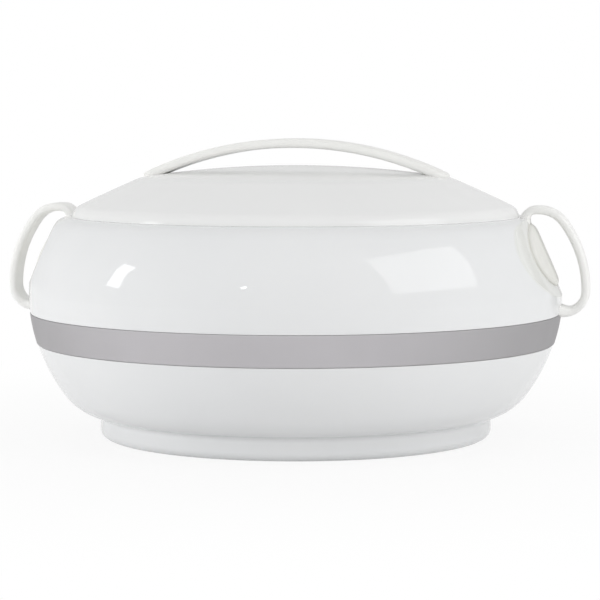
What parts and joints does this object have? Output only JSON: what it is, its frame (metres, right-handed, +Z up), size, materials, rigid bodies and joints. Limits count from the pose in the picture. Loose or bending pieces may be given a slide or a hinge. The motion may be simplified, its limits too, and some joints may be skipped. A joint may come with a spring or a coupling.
{
  "type": "insulated food container",
  "caption": "Round insulated serving pot: foam-filled double wall, steel bowl, grey trim band, loop side handles and a lift-off domed lid with an arched grip.",
  "frame": {"origin": "on the pot's axis, in the plane of the foot ring that stands on the table", "axes": "+Z up along the pot's axis and the lid's lift, +X through the right side handle, +Y to the back"},
  "size_m": [0.331, 0.3, 0.1672],
  "materials": {
    "body_white": "gloss",
    "lid_white": "gloss",
    "handle_white": "satin",
    "band_grey": "satin",
    "bowl_steel": "brushed",
    "foam": "matte",
    "screw_zinc": "zinc plated"
  },
  "bodies": {
    "pot": {"upper_shell": "body_white", "lower_shell": "body_white", "trim_band": "band_grey", "inner_bowl": "bowl_steel", "body_insulation": "foam", "base_plug": "body_white", "right_handle": "handle_white", "left_handle": "handle_white", "handle_screws": "screw_zinc"},
    "lid": {"lid_shell": "lid_white", "lid_liner": "lid_white", "lid_insulation": "foam", "lid_handle": "handle_white", "lid_handle_screws": "screw_zinc"}
  },
  "joints": [
    {"name": "lid_lift", "type": "slide", "parent": "pot", "child": "lid", "axis": [0, 0, 1], "range_m": [0, 0.2]}
  ]
}
